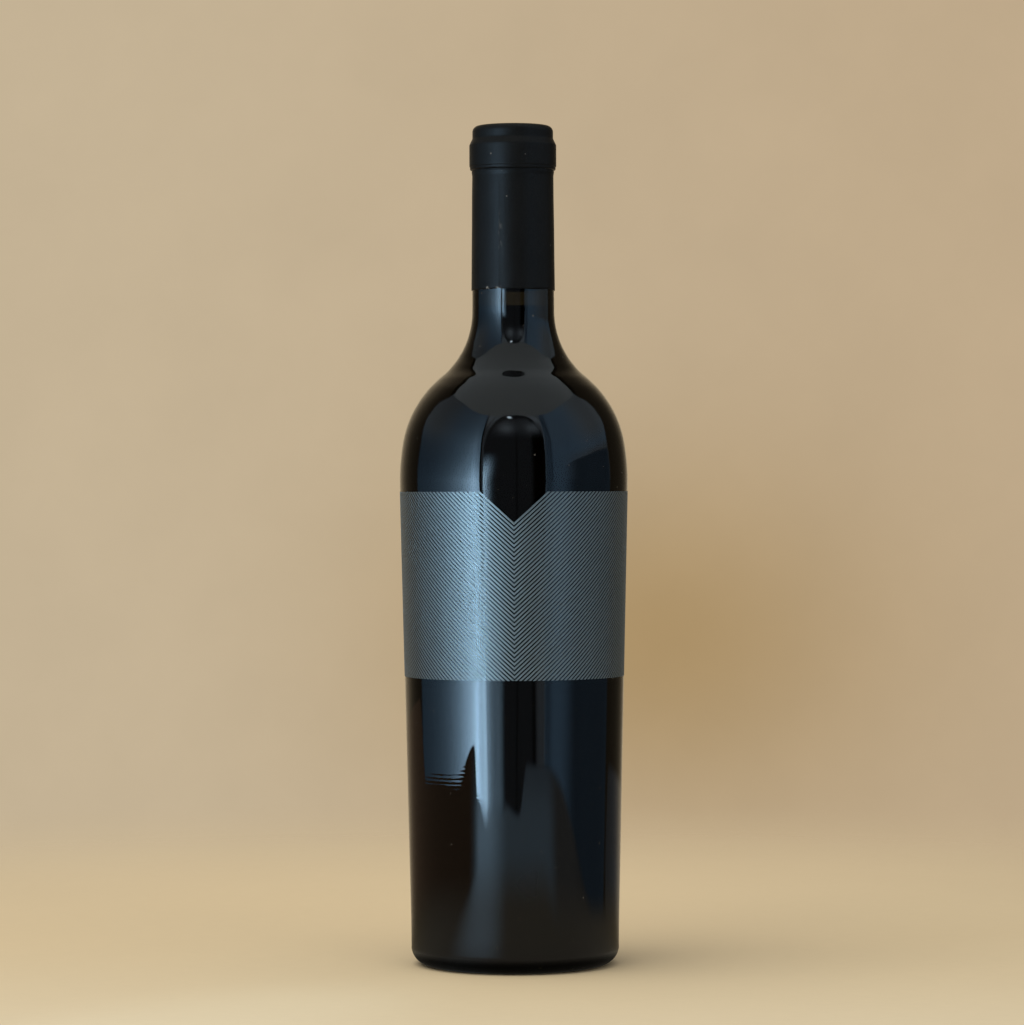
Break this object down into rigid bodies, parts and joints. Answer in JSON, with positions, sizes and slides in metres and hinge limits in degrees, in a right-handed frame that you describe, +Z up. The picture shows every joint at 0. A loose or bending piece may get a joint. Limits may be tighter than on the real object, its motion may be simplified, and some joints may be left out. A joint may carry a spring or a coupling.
{
  "type": "wine bottle",
  "caption": "Closed 750 ml wine bottle with a tapered body: dark glass over a deep punt, wine, a matt black sleeve and a striped band label with a V notch.",
  "frame": {"origin": "the middle of the standing ring, on the plane that the bottle stands on", "axes": "+Z up along the bottle's axis, -Y out of the front where the label's notch is"},
  "size_m": [0.0846, 0.0845, 0.31],
  "materials": {
    "dark_glass": "glossy",
    "red_wine": "glossy",
    "matt_black_sleeve": "matt",
    "silver_blue_foil": "satin"
  },
  "bodies": {
    "root": {"bottle_glass": "dark_glass", "wine": "red_wine", "capsule": "matt_black_sleeve", "label": "silver_blue_foil"}
  },
  "joints": []
}
